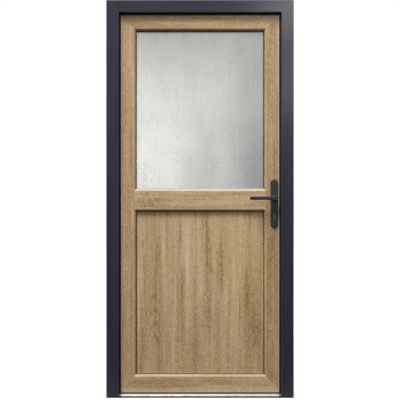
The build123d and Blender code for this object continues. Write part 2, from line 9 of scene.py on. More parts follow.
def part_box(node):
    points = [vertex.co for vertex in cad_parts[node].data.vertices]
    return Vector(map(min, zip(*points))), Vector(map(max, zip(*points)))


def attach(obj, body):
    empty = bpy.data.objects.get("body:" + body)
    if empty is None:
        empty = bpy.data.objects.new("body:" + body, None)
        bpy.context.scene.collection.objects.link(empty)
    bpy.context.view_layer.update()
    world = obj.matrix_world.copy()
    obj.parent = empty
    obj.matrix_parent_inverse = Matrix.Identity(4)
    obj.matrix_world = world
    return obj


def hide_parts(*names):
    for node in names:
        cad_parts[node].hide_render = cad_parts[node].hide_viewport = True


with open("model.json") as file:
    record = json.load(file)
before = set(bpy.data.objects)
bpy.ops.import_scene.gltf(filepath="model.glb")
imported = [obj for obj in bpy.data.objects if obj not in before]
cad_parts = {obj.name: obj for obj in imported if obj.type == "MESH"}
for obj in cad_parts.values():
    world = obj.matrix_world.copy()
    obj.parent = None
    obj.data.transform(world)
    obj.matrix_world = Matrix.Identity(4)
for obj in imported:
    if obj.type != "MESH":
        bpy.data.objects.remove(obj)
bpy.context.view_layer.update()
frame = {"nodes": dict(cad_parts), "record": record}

# Sizes in metres, read from the frame where it has them
FRAME_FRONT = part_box("frame_head")[0].y
FRAME_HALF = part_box("frame_head")[1].x
DOOR_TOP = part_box("frame_head")[1].z
FRAME_LIP_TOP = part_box("frame_head")[0].z
FRAME_LIP_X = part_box("frame_jamb_right")[0].x
THRESHOLD_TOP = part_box("threshold")[1].z
LEAF_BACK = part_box("leaf_top_rail")[1].y
LEAF_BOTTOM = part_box("leaf_bottom_rail")[0].z

# Where the frame seal's nose ends on the leaf, and the edges of the leaf's two openings
SEAL_REACH = 0.0085
SEAL_NOSE_X = FRAME_LIP_X - SEAL_REACH
FACE_INNER_X = 0.347
GLASS_LOW, GLASS_HIGH = 1.083, 1.937
PANEL_LOW, PANEL_HIGH = 0.105, 0.984

# Every mitre at the top of the frame and leaf lies on |X| - Z = TOP_MITRE,
# and those at the foot of the leaf on |X| + Z = FOOT_MITRE
TOP_MITRE = FRAME_HALF - DOOR_TOP
FOOT_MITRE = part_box("leaf_bottom_rail")[1].x + LEAF_BOTTOM

# Levels far below and far above the door, for an edge that a piece doesn't have
NOWHERE = -10.0
FAR_UP = 9.0

# The photograph's viewpoint: square-on from outside, at the height of the spindle
CAMERA_DISTANCE = 3.0
CAMERA_HEIGHT = 1.034
CAMERA_LENS = 51.7
SENSOR = 36.0

# Colours as linear red, green and blue
OAK_LIGHT = (0.518, 0.392, 0.254, 1)
OAK_MIDDLE = (0.372, 0.262, 0.146, 1)
OAK_DARK = (0.192, 0.116, 0.042, 1)
LEDGE_DUST_AND_SHEEN = (0.245, 0.252, 0.245, 1)
OAK_EDGE_HIGHLIGHT = (0.43, 0.36, 0.285, 1)
FOIL_GREY = (0.0205, 0.0215, 0.0345, 1)
FOIL_GREY_DEEP = (0.0105, 0.0112, 0.0195, 1)
FOIL_WORN_AND_HIGHLIGHT = (0.048, 0.047, 0.060, 1)
FOIL_DIRT = (0.045, 0.042, 0.038, 1)
BLACK_COAT = (0.0115, 0.0110, 0.0130, 1)
SEAL_BLACK = (0.006, 0.0055, 0.0055, 1)
SEAL_WORN = (0.016, 0.015, 0.0145, 1)
SEAL_BROWN_AND_BOUNCE = (0.084, 0.036, 0.0075, 1)
SEAL_BROWN_WORN_AND_BOUNCE = (0.125, 0.064, 0.020, 1)
SEAL_DUST_AND_HIGHLIGHT = (0.24, 0.23, 0.205, 1)
FOOT_DUST_AND_HIGHLIGHT = (0.46, 0.46, 0.44, 1)
CAP_GREY = (0.060, 0.064, 0.066, 1)
ALUMINIUM = (0.60, 0.605, 0.59, 1)
GRIME_AND_SHADE = (0.17, 0.155, 0.125, 1)
STEEL = (0.52, 0.52, 0.50, 1)
NICKEL = (0.115, 0.115, 0.12, 1)
SPACER_GREY = (0.06, 0.06, 0.062, 1)
CLEAR_GLASS = (0.975, 0.985, 0.98, 1)
GLASS_THIN = (1.0, 1.0, 0.995, 1)
GLASS_THICK = (0.635, 0.65, 0.64, 1)
WHITE = (1, 1, 1, 1)

# Tints, which multiply the colour under them
ROSY_TINT = (1.03, 0.98, 0.98, 1)
OLIVE_TINT = (0.965, 1.0, 0.925, 1)
PORE_TINT = (0.50, 0.42, 0.33, 1)
LEDGE_LOW_TINT = (0.76, 0.72, 0.70, 1)
DIRT_AND_SHADE_TINT = (0.60, 0.59, 0.55, 1)


def add(tree, kind, options=None, inputs=None):
    """Adds a node; an input is a plain value or the output that feeds it."""
    made = tree.nodes.new(kind)
    for name, value in (options or {}).items():
        setattr(made, name, value)
    for name, value in (inputs or {}).items():
        if isinstance(value, bpy.types.NodeSocket):
            tree.links.new(value, made.inputs[name])
        else:
            made.inputs[name].default_value = value
    return made


def maths(tree, operation, *values):
    """The output of a Math node; its values are numbers or outputs."""
    inputs = dict(enumerate(values))
    return add(tree, "ShaderNodeMath", {"operation": operation}, inputs).outputs[0]


def times(tree, first, second):
    return maths(tree, "MULTIPLY", first, second)


def scaled(tree, value, factor, offset):
    """A value times a factor, with an offset added."""
    return maths(tree, "MULTIPLY_ADD", value, factor, offset)


def vector_maths(tree, operation, *values):
    """The output of a Vector Math node."""
    inputs = dict(enumerate(values))
    return add(tree, "ShaderNodeVectorMath", {"operation": operation}, inputs).outputs[0]


def blend(tree, factor, first, second, kind="MIX"):
    """The colour that a Mix node makes of two."""
    return add(
        tree,
        "ShaderNodeMix",
        {"data_type": "RGBA", "blend_type": kind},
        {"Factor": factor, "A": first, "B": second},
    ).outputs["Result"]


def smooth(tree, value, start, end, low=0.0, high=1.0):
    """A smooth step from low at start to high at end."""
    return add(
        tree,
        "ShaderNodeMapRange",
        {"interpolation_type": "SMOOTHSTEP"},
        {"Value": value, "From Min": start, "From Max": end, "To Min": low, "To Max": high},
    ).outputs[0]


def split(tree, vector):
    """A vector's parts, by their names X, Y and Z."""
    return add(tree, "ShaderNodeSeparateXYZ", inputs={"Vector": vector}).outputs


def combined(tree, **parts):
    """The vector with these parts, and 0 for one that isn't given."""
    return add(tree, "ShaderNodeCombineXYZ", inputs=parts).outputs[0]


def facing_up(tree):
    """How far a face looks up, from 1 for a level top to -1 for a level underside."""
    return split(tree, add(tree, "ShaderNodeNewGeometry").outputs["Normal"])["Z"]


def ramp(tree, value, *stops):
    """The colour at a value on a ramp, whose stops are positions with their colours."""
    made = add(tree, "ShaderNodeValToRGB", inputs={"Fac": value})
    ends = made.color_ramp.elements
    ends[0].position, ends[0].color = stops[0]
    ends[1].position, ends[1].color = stops[-1]
    for position, colour in stops[1:-1]:
        ends.new(position).color = colour
    return made.outputs["Color"]


def cloud(tree, vector, scale, detail=2.0):
    """Plain noise, from 0 to 1."""
    return add(
        tree, "ShaderNodeTexNoise", inputs={"Vector": vector, "Scale": scale, "Detail": detail}
    ).outputs["Fac"]


FLOAT, VECTOR, COLOUR = "NodeSocketFloat", "NodeSocketVector", "NodeSocketColor"
INTEGER, OBJECT, MATERIAL = "NodeSocketInt", "NodeSocketObject", "NodeSocketMaterial"


def new_group(name, values, *outputs):
    """A shader node group fed by a vector and some values; returns it with its two ends."""
    tree = bpy.data.node_groups.new(name, "ShaderNodeTree")
    tree.interface.new_socket("Vector", in_out="INPUT", socket_type=VECTOR)
    for socket, value in values.items():
        made = tree.interface.new_socket(socket, in_out="INPUT", socket_type=FLOAT)
        made.default_value = value
    for socket in outputs:
        kind = COLOUR if socket == "Color" else FLOAT
        tree.interface.new_socket(socket, in_out="OUTPUT", socket_type=kind)
    start = tree.nodes.new("NodeGroupInput")
    end = tree.nodes.new("NodeGroupOutput")
    return tree, start.outputs, end.inputs


def use_group(tree, group, inputs):
    """The outputs of a shared group, by name."""
    return add(tree, "ShaderNodeGroup", {"node_tree": group}, inputs).outputs


def stretched_noise_group():
    """Noise drawn out along Z, for fibres, streaks and brushed lines."""
    values = {"Across": 50.0, "Along": 1.0, "Detail": 3.0, "Warp": 0.0}
    tree, start, end = new_group("stretched_noise", values, "Fac")
    scale = combined(tree, X=start["Across"], Y=start["Across"], Z=start["Along"])
    texture = add(
        tree,
        "ShaderNodeTexNoise",
        inputs={
            "Vector": vector_maths(tree, "MULTIPLY", start["Vector"], scale),
            "Scale": 1.0,
            "Detail": start["Detail"],
            "Distortion": start["Warp"],
        },
    )
    tree.links.new(texture.outputs["Fac"], end["Fac"])
    return tree


def oak_group():
    """Oak figure with its grain along Z; Marks is how much darker a board is, by its own figure
    and, on some boards, by painted shade.
    """
    outputs = ("Color", "Roughness", "Height")
    tree, start, end = new_group("oak_figure", {"Marks": 0.0}, *outputs)
    place = start["Vector"]

    def band(across, along, detail, warp=0.0):
        inputs = {"Across": across, "Along": along, "Detail": detail, "Warp": warp}
        return use_group(tree, STRETCHED, {"Vector": place, **inputs})["Fac"]

    def centred(value, share):
        return times(tree, maths(tree, "SUBTRACT", value, 0.5), share)

    fibre = band(600.0, 64.0, 3.0)
    pores = band(1100.0, 45.0, 2.0)
    tone = maths(tree, "SUBTRACT", 0.5, start["Marks"])
    for value in (
        centred(fibre, 1.50),
        centred(band(210.0, 26.0, 3.0, 0.5), 0.52),
        centred(band(85.0, 3.4, 4.0, 0.4), 0.56),
        centred(band(24.0, 1.1, 2.0), 0.64),
    ):
        tone = maths(tree, "ADD", tone, value)
    colour = ramp(tree, tone, (0.12, OAK_DARK), (0.5, OAK_MIDDLE), (0.90, OAK_LIGHT))
    rosy = smooth(tree, band(26.0, 1.9, 3.0), 0.48, 0.66)
    olive = smooth(tree, band(33.0, 2.2, 3.0, 0.3), 0.50, 0.68)
    colour = blend(tree, rosy, colour, ROSY_TINT, "MULTIPLY")
    colour = blend(tree, olive, colour, OLIVE_TINT, "MULTIPLY")
    pore_mask = times(tree, smooth(tree, pores, 0.58, 0.72), 0.6)
    colour = blend(tree, pore_mask, colour, PORE_TINT, "MULTIPLY")
    tree.links.new(colour, end["Color"])
    tree.links.new(maths(tree, "ADD", 0.52, centred(fibre, 0.3)), end["Roughness"])
    height = maths(tree, "SUBTRACT", fibre, pore_mask)
    tree.links.new(height, end["Height"])
    return tree


# What feeds the two groups below, beside their vector
ARCH_INPUTS = ("Centre", "Curve", "Spacing", "Half Width", "Low", "High")
STREAK_INPUTS = ("Centre", "Level", "Half Width", "Half Height", "Lean", "Ripple")


def cathedral_group():
    """Nested pointed arches, as a plain-sawn board shows along its heart."""
    tree, start, end = new_group("oak_cathedral", dict.fromkeys(ARCH_INPUTS, 0.0), "Fac")
    parts = split(tree, start["Vector"])
    sway = scaled(tree, cloud(tree, start["Vector"], 9.0), 0.05, -0.025)
    x = maths(tree, "ADD", maths(tree, "SUBTRACT", parts["X"], start["Centre"]), sway)
    reach = maths(tree, "ABSOLUTE", x)
    arch = times(tree, times(tree, reach, reach), start["Curve"])
    ragged = scaled(tree, cloud(tree, start["Vector"], 60.0, 3.0), 0.022, -0.011)
    raised = maths(tree, "ADD", parts["Z"], arch)
    level = maths(tree, "DIVIDE", maths(tree, "ADD", raised, ragged), start["Spacing"])
    line = smooth(tree, maths(tree, "FRACT", level), 0.0, 0.5, 1.0, 0.0)
    width = smooth(tree, maths(tree, "DIVIDE", reach, start["Half Width"]), 0.35, 1.0, 1.0, 0.0)
    run = maths(tree, "SUBTRACT", parts["Z"], start["Low"])
    fade = smooth(tree, run, 0.0, 0.08)
    top = smooth(tree, maths(tree, "SUBTRACT", start["High"], raised), 0.0, 0.04)
    mask = times(tree, times(tree, width, fade), top)
    tree.links.new(times(tree, line, mask), end["Fac"])
    return tree


def streak_group():
    """One soft dark streak along the grain, or ripples across it."""
    tree, start, end = new_group("oak_streak", dict.fromkeys(STREAK_INPUTS, 0.0), "Fac")
    parts = split(tree, start["Vector"])
    z = maths(tree, "SUBTRACT", parts["Z"], start["Level"])
    x = maths(tree, "SUBTRACT", parts["X"], start["Centre"])
    x = maths(tree, "SUBTRACT", x, times(tree, z, start["Lean"]))
    sway = scaled(tree, cloud(tree, start["Vector"], 22.0, 3.0), 0.012, -0.006)
    x = maths(tree, "DIVIDE", maths(tree, "ADD", x, sway), start["Half Width"])
    z = maths(tree, "DIVIDE", z, start["Half Height"])
    square = maths(tree, "ADD", times(tree, x, x), times(tree, z, z))
    soft = smooth(tree, square, 0.0, 1.6, 1.0, 0.0)
    inputs = {"Vector": start["Vector"], "Across": 30.0, "Along": 150.0, "Detail": 2.0}
    ripple = smooth(tree, use_group(tree, STRETCHED, inputs)["Fac"], 0.40, 0.62)
    kept = maths(tree, "SUBTRACT", 1.0, start["Ripple"])
    share = scaled(tree, ripple, start["Ripple"], kept)
    tree.links.new(times(tree, soft, share), end["Fac"])
    return tree


def rim_group():
    """Mask of a strip along the edge of an upright rectangle about X = 0."""
    values = {"Half Width": 0.5, "Low": NOWHERE, "High": 2.0, "Reach": 0.004}
    tree, start, end = new_group("rim_strip", values, "Mask")
    parts = split(tree, start["Vector"])
    side = maths(tree, "SUBTRACT", start["Half Width"], maths(tree, "ABSOLUTE", parts["X"]))
    top = maths(tree, "SUBTRACT", start["High"], parts["Z"])
    foot = maths(tree, "SUBTRACT", parts["Z"], start["Low"])
    near = maths(tree, "MINIMUM", side, maths(tree, "MINIMUM", top, foot))
    near = maths(tree, "DIVIDE", maths(tree, "ABSOLUTE", near), start["Reach"])
    uneven = scaled(tree, cloud(tree, start["Vector"], 35.0, 4.0), 0.8, -0.4)
    near = maths(tree, "ADD", near, uneven)
    tree.links.new(smooth(tree, near, 0.35, 1.0, 1.0, 0.0), end["Mask"])
    return tree


def seam_group():
    """Masks of the welded mitres: a fine groove, and the cleaned strip beside it."""
    tree, start, end = new_group("weld_seam", {"Foot Mitre": NOWHERE}, "Groove", "Cleaned")
    parts = split(tree, start["Vector"])
    side = maths(tree, "ABSOLUTE", parts["X"])
    top = maths(tree, "SUBTRACT", maths(tree, "SUBTRACT", side, parts["Z"]), TOP_MITRE)
    foot = maths(tree, "SUBTRACT", maths(tree, "ADD", side, parts["Z"]), start["Foot Mitre"])
    near = maths(tree, "MINIMUM", maths(tree, "ABSOLUTE", top), maths(tree, "ABSOLUTE", foot))
    tree.links.new(smooth(tree, near, 0.0003, 0.0014, 1.0, 0.0), end["Groove"])
    tree.links.new(smooth(tree, near, 0.0015, 0.0055, 1.0, 0.0), end["Cleaned"])
    return tree


def dirt_and_shade_group():
    """Mask that darkens towards the ground, in patches: soiling, and on the oak also painted
    shade where the light falls off down the door.
    """
    tree, start, end = new_group("ground_dirt_and_shade", {"Height": 0.3, "Amount": 0.5}, "Mask")
    parts = split(tree, start["Vector"])
    low = maths(tree, "DIVIDE", parts["Z"], start["Height"])
    low = smooth(tree, low, 0.0, 1.0, 1.0, 0.0)
    patches = smooth(tree, cloud(tree, start["Vector"], 28.0, 6.0), 0.30, 0.75)
    patches = scaled(tree, patches, 0.6, 0.4)
    mask = times(tree, times(tree, low, patches), start["Amount"])
    tree.links.new(mask, end["Mask"])
    return tree


STRETCHED = stretched_noise_group()
OAK = oak_group()
CATHEDRAL = cathedral_group()
STREAK = streak_group()
RIM = rim_group()
SEAM = seam_group()
DIRT_AND_SHADE = dirt_and_shade_group()


def new_material(name):
    """A node material; returns it with its tree and its shader."""
    made = bpy.data.materials.new(name)
    made.use_nodes = True
    tree = made.node_tree
    return made, tree, tree.nodes["Principled BSDF"]


def object_place(tree, offset=(0, 0, 0), turned=False):
    """Object coordinates moved by an offset; turned puts X where Z was."""
    place = add(tree, "ShaderNodeTexCoord").outputs["Object"]
    place = vector_maths(tree, "ADD", place, offset)
    if not turned:
        return place
    parts = split(tree, place)
    return combined(tree, X=parts["Z"], Y=parts["Y"], Z=parts["X"])


def feed(tree, shader, colour, roughness, specular=0.5):
    """Gives a shader its colour, roughness and specular level."""
    tree.links.new(colour, shader.inputs["Base Color"])
    tree.links.new(roughness, shader.inputs["Roughness"])
    shader.inputs["Specular IOR Level"].default_value = specular


def bump(tree, shader, height, strength, distance):
    """Gives a shader the fine relief of a height, whose distance is in metres."""
    inputs = {"Height": height, "Strength": strength, "Distance": distance}
    made = add(tree, "ShaderNodeBump", inputs=inputs)
    tree.links.new(made.outputs[0], shader.inputs["Normal"])


# The panel's streaks, as their STREAK_INPUTS and how much darker each makes it
PANEL_STREAKS = [
    (0.036, 0.800, 0.0090, 0.210, 0.01, 0.0, 0.24),
    (0.055, 0.676, 0.0090, 0.045, -0.50, 0.0, 0.17),
    (0.051, 0.770, 0.0035, 0.120, -0.05, 0.0, 0.15),
    (-0.106, 0.860, 0.0200, 0.150, 0.0, 0.0, 0.15),
    (-0.104, 0.850, 0.0070, 0.060, 0.0, 0.0, 0.16),
    (-0.090, 0.620, 0.0150, 0.080, 0.05, 0.0, 0.15),
    (-0.095, 0.400, 0.0100, 0.200, 0.0, 0.0, 0.11),
    (0.246, 0.560, 0.0220, 0.130, 0.0, 0.0, 0.12),
    (0.256, 0.400, 0.0100, 0.120, 0.0, 0.0, 0.06),
    (0.209, 0.480, 0.0035, 0.130, 0.02, 0.0, 0.20),
    (0.261, 0.940, 0.0030, 0.060, 0.0, 0.0, 0.14),
    (-0.304, 0.806, 0.0060, 0.020, 0.2, 0.0, 0.22),
    (-0.234, 0.720, 0.0050, 0.090, 0.02, 0.0, 0.12),
    (0.113, 0.680, 0.0300, 0.130, 0.0, 0.8, 0.17),
    (0.300, 0.330, 0.0220, 0.090, 0.0, 0.9, 0.12),
    (0.020, 0.400, 0.0220, 0.100, 0.0, 0.9, 0.16),
    (-0.062, 0.530, 0.0250, 0.050, 0.0, 0.7, 0.10),
    (0.018, 0.520, 0.0050, 0.060, 0.45, 0.0, 0.13),
    (-0.050, 0.800, 0.0260, 0.260, 0.0, 0.0, -0.13),
    (-0.005, 0.700, 0.0200, 0.340, 0.0, 0.0, -0.14),
    (0.190, 0.760, 0.0500, 0.300, 0.0, 0.0, -0.07),
    (-0.180, 0.700, 0.0300, 0.300, 0.0, 0.0, -0.06),
]
# Ripples across the transom's grain, in the same way and in its turned coordinates
TRANSOM_RIPPLES = [
    (1.040, -0.285, 0.060, 0.055, 0.0, 1.0, 0.21),
    (1.030, -0.205, 0.060, 0.050, 0.0, 1.0, 0.15),
]
# The panel's runs of arches, as their ARCH_INPUTS and how much darker each makes it
PANEL_ARCHES = [
    (-0.240, 62.0, 0.0745, 0.060, 0.24, 0.56, 0.22),
    (0.300, 75.0, 0.070, 0.040, 0.20, 0.66, 0.11),
]


def add_marks(tree, place, group, names, rows, total):
    """A tone with the marks of some rows added to it."""
    for *values, depth in rows:
        inputs = dict(zip(names, values))
        mark = use_group(tree, group, {"Vector": place, **inputs})["Fac"]
        total = scaled(tree, mark, depth, total)
    return total


def panel_marks(tree, place):
    """How much darker the panel's own figure makes it, and its foot a little more."""
    total = smooth(tree, split(tree, place)["Z"], 0.15, 0.75, 0.10, 0.0)
    total = add_marks(tree, place, STREAK, STREAK_INPUTS, PANEL_STREAKS, total)
    return add_marks(tree, place, CATHEDRAL, ARCH_INPUTS, PANEL_ARCHES, total)


# How much darker than the panel each profile's foil is: partly its own tone, partly painted
# shade, most on the right stile and the top rail, where less light falls
BOARD_TONES_AND_SHADE = {
    "oak_leaf_stile_left": 0.10,
    "oak_leaf_stile_right": 0.24,
    "oak_leaf_top_rail": 0.15,
    "oak_leaf_bottom_rail": 0.07,
    "oak_leaf_transom": 0.01,
}

# Painted highlights: a paler strip along the leaf's rounded edge, and a lighter rim round its
# two openings
EDGE_HIGHLIGHT_FOOT = LEAF_BOTTOM + 0.004
EDGE_HIGHLIGHT_REACH, EDGE_HIGHLIGHT_SHARE = 0.010, 0.55
RIM_HIGHLIGHT_REACH, RIM_HIGHLIGHT_SHARE = 0.006, 0.28


def oak_foil(name, offset, turned, marked):
    """Light oak foil on one profile, with its grain along that profile."""
    made, tree, shader = new_material(name)
    place = object_place(tree)
    if marked:
        marks = panel_marks(tree, place)
    else:
        marks = BOARD_TONES_AND_SHADE.get(name, 0.0)
    if name == "oak_leaf_transom":
        across = object_place(tree, turned=True)
        marks = add_marks(tree, across, STREAK, STREAK_INPUTS, TRANSOM_RIPPLES, marks)
    inputs = {"Vector": object_place(tree, offset, turned), "Marks": marks}
    figure = use_group(tree, OAK, inputs)
    colour = figure["Color"]
    if not marked:
        # Painted highlight: a paler strip along the leaf's rounded edge
        edge = {"Vector": place, "Half Width": SEAL_NOSE_X, "Low": EDGE_HIGHLIGHT_FOOT, "High": FAR_UP}
        pale = use_group(tree, RIM, {**edge, "Reach": EDGE_HIGHLIGHT_REACH})["Mask"]
        colour = blend(tree, times(tree, pale, EDGE_HIGHLIGHT_SHARE), colour, OAK_EDGE_HIGHLIGHT)
        seam = use_group(tree, SEAM, {"Vector": place, "Foot Mitre": FOOT_MITRE})
        colour = blend(tree, times(tree, seam["Cleaned"], 0.30), colour, OAK_LIGHT)
        colour = blend(tree, times(tree, seam["Groove"], 0.60), colour, OAK_DARK)
        # Painted highlights: lighter rims round the glass and panel openings, on their rounded
        # edges
        for low, high in ((GLASS_LOW, GLASS_HIGH), (PANEL_LOW, PANEL_HIGH)):
            rim = {"Vector": place, "Half Width": FACE_INNER_X, "Low": low, "High": high}
            wear_and_highlight = use_group(tree, RIM, {**rim, "Reach": RIM_HIGHLIGHT_REACH})["Mask"]
            colour = blend(tree, times(tree, wear_and_highlight, RIM_HIGHLIGHT_SHARE), colour, OAK_LIGHT)
        # Faces that look up are greyed, more the higher they are: partly dust, partly a painted
        # sheen of the light from above
        upward = smooth(tree, facing_up(tree), 0.15, 0.80)
        level = split(tree, place)["Z"]
        ledge_dust_and_sheen = times(tree, upward, smooth(tree, level, 0.1, 0.9, 0.08, 0.55))
        colour = blend(tree, ledge_dust_and_sheen, colour, LEDGE_DUST_AND_SHEEN)
        # Faces that look up are darker towards the bottom
        low_ledge_darkening = times(tree, upward, smooth(tree, level, 0.1, 0.6, 0.65, 0.0))
        colour = blend(tree, low_ledge_darkening, colour, LEDGE_LOW_TINT, "MULTIPLY")
    # Darker towards the bottom in patches: partly soiling, partly painted shade for the light
    # falling off down the door
    dirt_and_shade = use_group(tree, DIRT_AND_SHADE, {"Vector": place, "Height": 1.2, "Amount": 0.34})["Mask"]
    colour = blend(tree, dirt_and_shade, colour, DIRT_AND_SHADE_TINT, "MULTIPLY")
    feed(tree, shader, colour, figure["Roughness"], 0.30)
    bump(tree, shader, figure["Height"], 0.30, 0.0004)
    return made


def grey_foil(name, offset, turned):
    """Anthracite foil with a faint grain pressed along the profile."""
    made, tree, shader = new_material(name)
    place = object_place(tree)
    along = object_place(tree, offset, turned)

    def lines_of(across, run, detail):
        inputs = {"Vector": along, "Across": across, "Along": run, "Detail": detail}
        return use_group(tree, STRETCHED, inputs)["Fac"]

    lines = lines_of(380.0, 7.0, 3.0)
    tone = scaled(tree, lines, 0.45, times(tree, lines_of(70.0, 1.2, 3.0), 0.55))
    colour = ramp(tree, tone, (0.34, FOIL_GREY_DEEP), (0.66, FOIL_GREY))
    seam = use_group(tree, SEAM, {"Vector": place})
    colour = blend(tree, times(tree, seam["Cleaned"], 0.35), colour, FOIL_WORN_AND_HIGHLIGHT)
    colour = blend(tree, times(tree, seam["Groove"], 0.6), colour, FOIL_GREY_DEEP)
    dull = scaled(tree, lines, 0.12, 0.25)
    # Painted highlights: lighter rims along the frame's outer edges and its lips, on their
    # rounded edges; they are rougher too
    for half_width, high, share in (
        (FRAME_HALF, DOOR_TOP, 0.45),
        (FRAME_LIP_X, FRAME_LIP_TOP, 0.30),
    ):
        rim = {"Vector": place, "Half Width": half_width, "High": high, "Reach": 0.004}
        wear_and_highlight = use_group(tree, RIM, rim)["Mask"]
        colour = blend(tree, times(tree, wear_and_highlight, share), colour, FOIL_WORN_AND_HIGHLIGHT)
        dull = scaled(tree, wear_and_highlight, 0.22, dull)
    dirt_and_shade = use_group(tree, DIRT_AND_SHADE, {"Vector": place, "Height": 0.16, "Amount": 0.30})["Mask"]
    colour = blend(tree, dirt_and_shade, colour, FOIL_DIRT)
    feed(tree, shader, colour, maths(tree, "ADD", dull, dirt_and_shade), 0.28)
    bump(tree, shader, lines, 0.22, 0.0003)
    return made


def rubber_seal(name, colour, wear_and_highlight, foot=NOWHERE):
    """Matt rubber with patches of wear, paler on what faces up and along a low foot: partly
    dust, partly a painted highlight.
    """
    made, tree, shader = new_material(name)
    place = object_place(tree)
    grain = cloud(tree, place, 900.0)
    wear = smooth(tree, cloud(tree, place, 22.0, 4.0), 0.5, 0.8, 0.0, 0.5)
    colour = blend(tree, wear, colour, wear_and_highlight)
    # Paler on what faces up and along the foot: partly dust, partly a painted highlight where
    # light falls on the rubber
    seal_dust_and_highlight = smooth(tree, facing_up(tree), 0.4, 0.9, 0.0, 0.6)
    colour = blend(tree, seal_dust_and_highlight, colour, SEAL_DUST_AND_HIGHLIGHT)
    foot_dust_and_highlight = smooth(tree, split(tree, place)["Z"], foot, foot + 0.003, 0.9, 0.0)
    colour = blend(tree, foot_dust_and_highlight, colour, FOOT_DUST_AND_HIGHLIGHT)
    feed(tree, shader, colour, scaled(tree, grain, 0.2, 0.55), 0.2)
    bump(tree, shader, grain, 0.2, 0.0003)
    return made


def powder_coat(name, colour, roughness):
    """Powder coat: a fine orange peel under a satin sheen, with faint handling marks."""
    made, tree, shader = new_material(name)
    place = object_place(tree)
    peel = cloud(tree, place, 1400.0)
    patches = cloud(tree, place, 30.0, 3.0)
    marked = blend(tree, 1.0, colour, scaled(tree, patches, 0.6, 0.7), "MULTIPLY")
    feed(tree, shader, marked, scaled(tree, patches, 0.18, roughness), 0.45)
    bump(tree, shader, peel, 0.25, 0.0002)
    return made


# The threshold's front, below the first levels, is darkened as a painted dark reflection, and
# the flat along its joint, behind the second depths, as a painted shadow
FRONT_SHADE_LEVELS = (0.0098, 0.0112)
JOINT_SHADOW_DEPTHS = (FRAME_FRONT + 0.0115, FRAME_FRONT + 0.0135)


def brushed_metal(name, colour, roughness, turned, grime_and_shade=0.0):
    """Metal with fine lines along its length; one with grime and shade set is dull near the
    ground, with grime in spots, a painted dark reflection in front and a painted shadow along
    its joint.
    """
    made, tree, shader = new_material(name)
    place = object_place(tree)
    along = object_place(tree, turned=turned)
    inputs = {"Vector": along, "Across": 900.0, "Along": 6.0, "Detail": 4.0}
    lines = use_group(tree, STRETCHED, inputs)["Fac"]
    finish = blend(tree, 1.0, colour, scaled(tree, lines, 0.3, 0.85), "MULTIPLY")
    rough = scaled(tree, lines, 0.18, roughness)
    if grime_and_shade:
        level = split(tree, place)["Z"]
        uneven = scaled(tree, cloud(tree, place, 40.0, 5.0), 0.004, -0.002)
        # Painted shade: the front face darkened as a dark reflection and the flat behind the
        # joint as the leaf's shadow; the spots are grime
        front = smooth(tree, maths(tree, "ADD", level, uneven), *FRONT_SHADE_LEVELS, 1.0, 0.0)
        joint = smooth(tree, split(tree, place)["Y"], *JOINT_SHADOW_DEPTHS)
        front = maths(tree, "MAXIMUM", front, joint)
        spots = smooth(tree, cloud(tree, place, 90.0, 6.0), 0.52, 0.74, 0.0, 0.35)
        mask = maths(tree, "MAXIMUM", times(tree, front, grime_and_shade), spots)
        finish = blend(tree, mask, finish, GRIME_AND_SHADE)
        rough = scaled(tree, mask, 0.3, rough)
    feed(tree, shader, finish, rough)
    shader.inputs["Metallic"].default_value = 1.0
    bump(tree, shader, lines, 0.12, 0.0002)
    return made


GLASS_IOR = 1.5


def clear_glass():
    """Plain float glass with the faintest smears."""
    made, tree, shader = new_material("clear_glass")
    place = object_place(tree)
    shader.inputs["Base Color"].default_value = CLEAR_GLASS
    shader.inputs["Transmission Weight"].default_value = 1.0
    shader.inputs["IOR"].default_value = GLASS_IOR
    smears = smooth(tree, cloud(tree, place, 14.0, 3.0), 0.55, 0.8, 0.0, 0.03)
    tree.links.new(smears, shader.inputs["Roughness"])
    return made


def obscure_glass():
    """Cast glass whose pebbled face scatters light; its thick spots are a little darker."""
    made, tree, shader = new_material("obscure_glass")
    place = object_place(tree)
    shader.inputs["Transmission Weight"].default_value = 1.0
    shader.inputs["IOR"].default_value = GLASS_IOR
    cells = add(
        tree,
        "ShaderNodeTexVoronoi",
        {"feature": "SMOOTH_F1"},
        {"Vector": place, "Scale": 215.0, "Smoothness": 0.6},
    ).outputs["Distance"]
    mottle = scaled(tree, cloud(tree, place, 170.0, 2.0), 0.6, times(tree, cells, 0.7))
    inputs = {"Vector": place, "Across": 60.0, "Along": 4.0, "Detail": 3.0}
    bands = use_group(tree, STRETCHED, inputs)["Fac"]
    mottle = scaled(tree, bands, 0.25, mottle)
    thick = smooth(tree, mottle, 0.60, 0.82)
    patch = smooth(tree, cloud(tree, place, 9.0, 3.0), 0.42, 0.58, 0.55, 1.25)
    thick = scaled(tree, maths(tree, "SUBTRACT", thick, 0.5), patch, 0.5)
    colour = blend(tree, thick, GLASS_THIN, GLASS_THICK)
    feed(tree, shader, colour, scaled(tree, thick, 0.06, 0.29))
    bump(tree, shader, cells, 0.22, 0.0010)
    return made


# Words in the names of the pieces whose grain is along X, and the step between the
# patterns of two pieces
LEVEL_WORDS = ("rail", "transom", "head", "_top", "_bottom")
PATTERN_STEP = Vector((0.37, 0.11, 0.53))

# Below this level the glass's outside gasket is paler: partly dust, partly a painted highlight
GLASS_SEAL_FOOT = GLASS_LOW + 0.012

seal_finish = rubber_seal("black_seal", SEAL_BLACK, SEAL_WORN)
